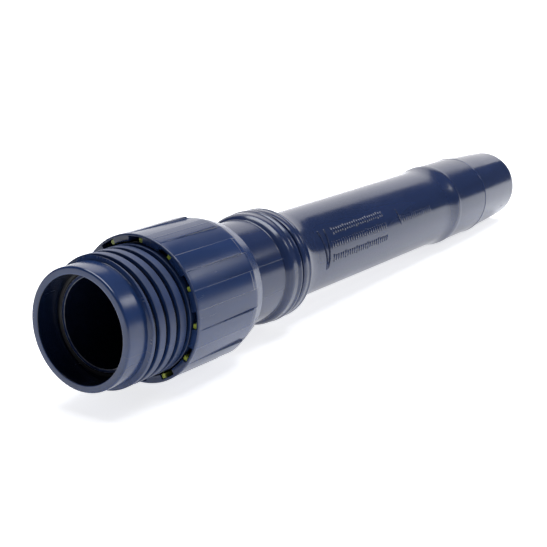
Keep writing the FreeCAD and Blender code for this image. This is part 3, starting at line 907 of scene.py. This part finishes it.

# Inner pipe: a thin-walled navy pipe that slides in the mouth. Its rounded front edge shows
# inside the spigot, and its rear flange stops it against the rear guide ring.
# Pale tone for rubbed edges, pale enough that it also paints a highlight along the rounded front edge.
RIM_WEAR_AND_HIGHLIGHT = (0.4200, 0.4500, 0.5200)
INNER_WALL = (
    (13.5, 21.4, 0.5), (13.5, 23.3, 0.7), (141.4, 23.3, 0.3), (141.4, 24.8, 0.4),
    (144.4, 24.8, 0.4), (144.4, 21.4, 0.5),
)
INNER_SIDES = 180
INNER_SEAM = 30.0
inner_plastic = moulded_plastic(
    "inner_pipe_plastic", NAVY, NAVY_DEEP, RIM_WEAR_AND_HIGHLIGHT, INNER_SEAM, bore=21.4, gloss=0.2
)
inner_pipe = new_piece("inner_pipe", turned("inner_pipe", INNER_WALL, INNER_SIDES), inner_plastic)
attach(inner_pipe, "inner")
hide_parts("inner_pipe")

# Guide rings: two split rings of dark satin plastic that hold the inner pipe central.
# Seal: a black rubber ring in the spigot's bore. All three keep their own solids.
SMOKE = (0.030, 0.031, 0.034)
SMOKE_DEEP = (0.018, 0.018, 0.021)
SOOT = (0.006, 0.006, 0.0065)
SOOT_DEEP = (0.0035, 0.0035, 0.004)
guide_plastic = satin_plastic("guide_plastic", SMOKE, SMOKE_DEEP, 0.45, 0.00003)
seal_rubber = satin_plastic("seal_rubber", SOOT, SOOT_DEEP, 0.62, 0.00004)
for node_name, finish_material in (
    ("front_guide_ring", guide_plastic),
    ("rear_guide_ring", guide_plastic),
    ("pipe_seal", seal_rubber),
):
    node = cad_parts[node_name]
    for material_slot in node.material_slots:
        material_slot.material = finish_material

# Floor: a wide pale sheet that the pipe rests on, at the nut's ribs and at the hose end.
NUT_REST = (82.0, -36.1)
CUFF_REST = (366.0, -25.5)
FLOOR_HALF = 14.0
FLOOR_GLOW = 0.75
PAPER = (0.82, 0.82, 0.82)
PAPER_DEEP = (0.80, 0.80, 0.80)
floor_rise = (CUFF_REST[1] - NUT_REST[1]) / (CUFF_REST[0] - NUT_REST[0])


def floor_height(along):
    """Height of the floor under this place along the pipe, in metres."""
    return NUT_REST[1] * MILLIMETRE + floor_rise * (along - NUT_REST[0] * MILLIMETRE)


floor_mesh = bpy.data.meshes.new("floor")
floor_corners = (
    (-FLOOR_HALF, -FLOOR_HALF), (FLOOR_HALF, -FLOOR_HALF),
    (FLOOR_HALF, FLOOR_HALF), (-FLOOR_HALF, FLOOR_HALF),
)
floor_mesh.from_pydata([(x, y, floor_height(x)) for x, y in floor_corners], [], [(0, 1, 2, 3)])
floor_paper = bpy.data.materials.new("floor_paper")
floor_nodes = Nodes(floor_paper)
paper = floor_nodes.noise(3.0, detail=3.0)
paper_patches = floor_nodes.between(paper, 0.0, 1.0, 0.3, 0.7)
paper_tone = floor_nodes.blend(paper_patches, PAPER, PAPER_DEEP)
floor_nodes.join(paper_tone[0], paper_tone[1], floor_nodes.shader, "Base Color")
floor_nodes.shader.inputs["Roughness"].default_value = 0.9
floor_nodes.shader.inputs["Emission Color"].default_value = (1.0, 1.0, 1.0, 1.0)
floor_nodes.shader.inputs["Emission Strength"].default_value = FLOOR_GLOW
floor = new_piece("floor", floor_mesh, floor_paper)

# Light: a soft box overhead, a wide one behind the hose end whose light runs along the top of the
# pipe, a small one on the camera's side, and a dim pale sky. The floor's own glow is set above.
PIPE_MIDDLE = Vector((0.12, 0.0, 0.0))


def soft_box(
    name, azimuth, elevation, distance, width, height, brightness, roll=0.0, tint=(1.0, 1.0, 1.0)
):
    """An area light that faces the pipe from this side, turned by roll on its own stand. Azimuth
    runs from +X towards +Y. All angles are in degrees."""
    data = bpy.data.lights.new(name, "AREA")
    data.shape = "RECTANGLE"
    data.size = width
    data.size_y = height
    data.energy = brightness * math.pi * width * height
    data.color = tint
    light = bpy.data.objects.new(name, data)
    flat = math.cos(math.radians(elevation))
    away = Vector(
        (
            flat * math.cos(math.radians(azimuth)),
            flat * math.sin(math.radians(azimuth)),
            math.sin(math.radians(elevation)),
        )
    )
    light.location = PIPE_MIDDLE + away * distance
    facing = away.to_track_quat("Z", "Y") @ Quaternion((0.0, 0.0, 1.0), math.radians(roll))
    light.rotation_euler = facing.to_euler()
    light.visible_camera = False
    scene.collection.objects.link(light)


soft_box("top_box", 8.0, 78.5, 2.2, 2.3, 1.3, 7.5, tint=(0.93, 0.96, 1.0))
soft_box("back_box", 36.0, 22.0, 3.0, 3.4, 2.3, 1.2, roll=25.0, tint=(1.0, 0.985, 0.97))
soft_box("side_box", -39.0, 31.0, 1.0, 0.2, 0.2, 6.0)

world = bpy.data.worlds.new("studio")
world.use_nodes = True
backing = world.node_tree.nodes["Background"]
backing.inputs["Color"].default_value = (0.75, 0.8, 1.0, 1.0)
backing.inputs["Strength"].default_value = 0.12
scene.world = world
scene.view_settings.view_transform = "Standard"
scene.view_settings.look = "None"
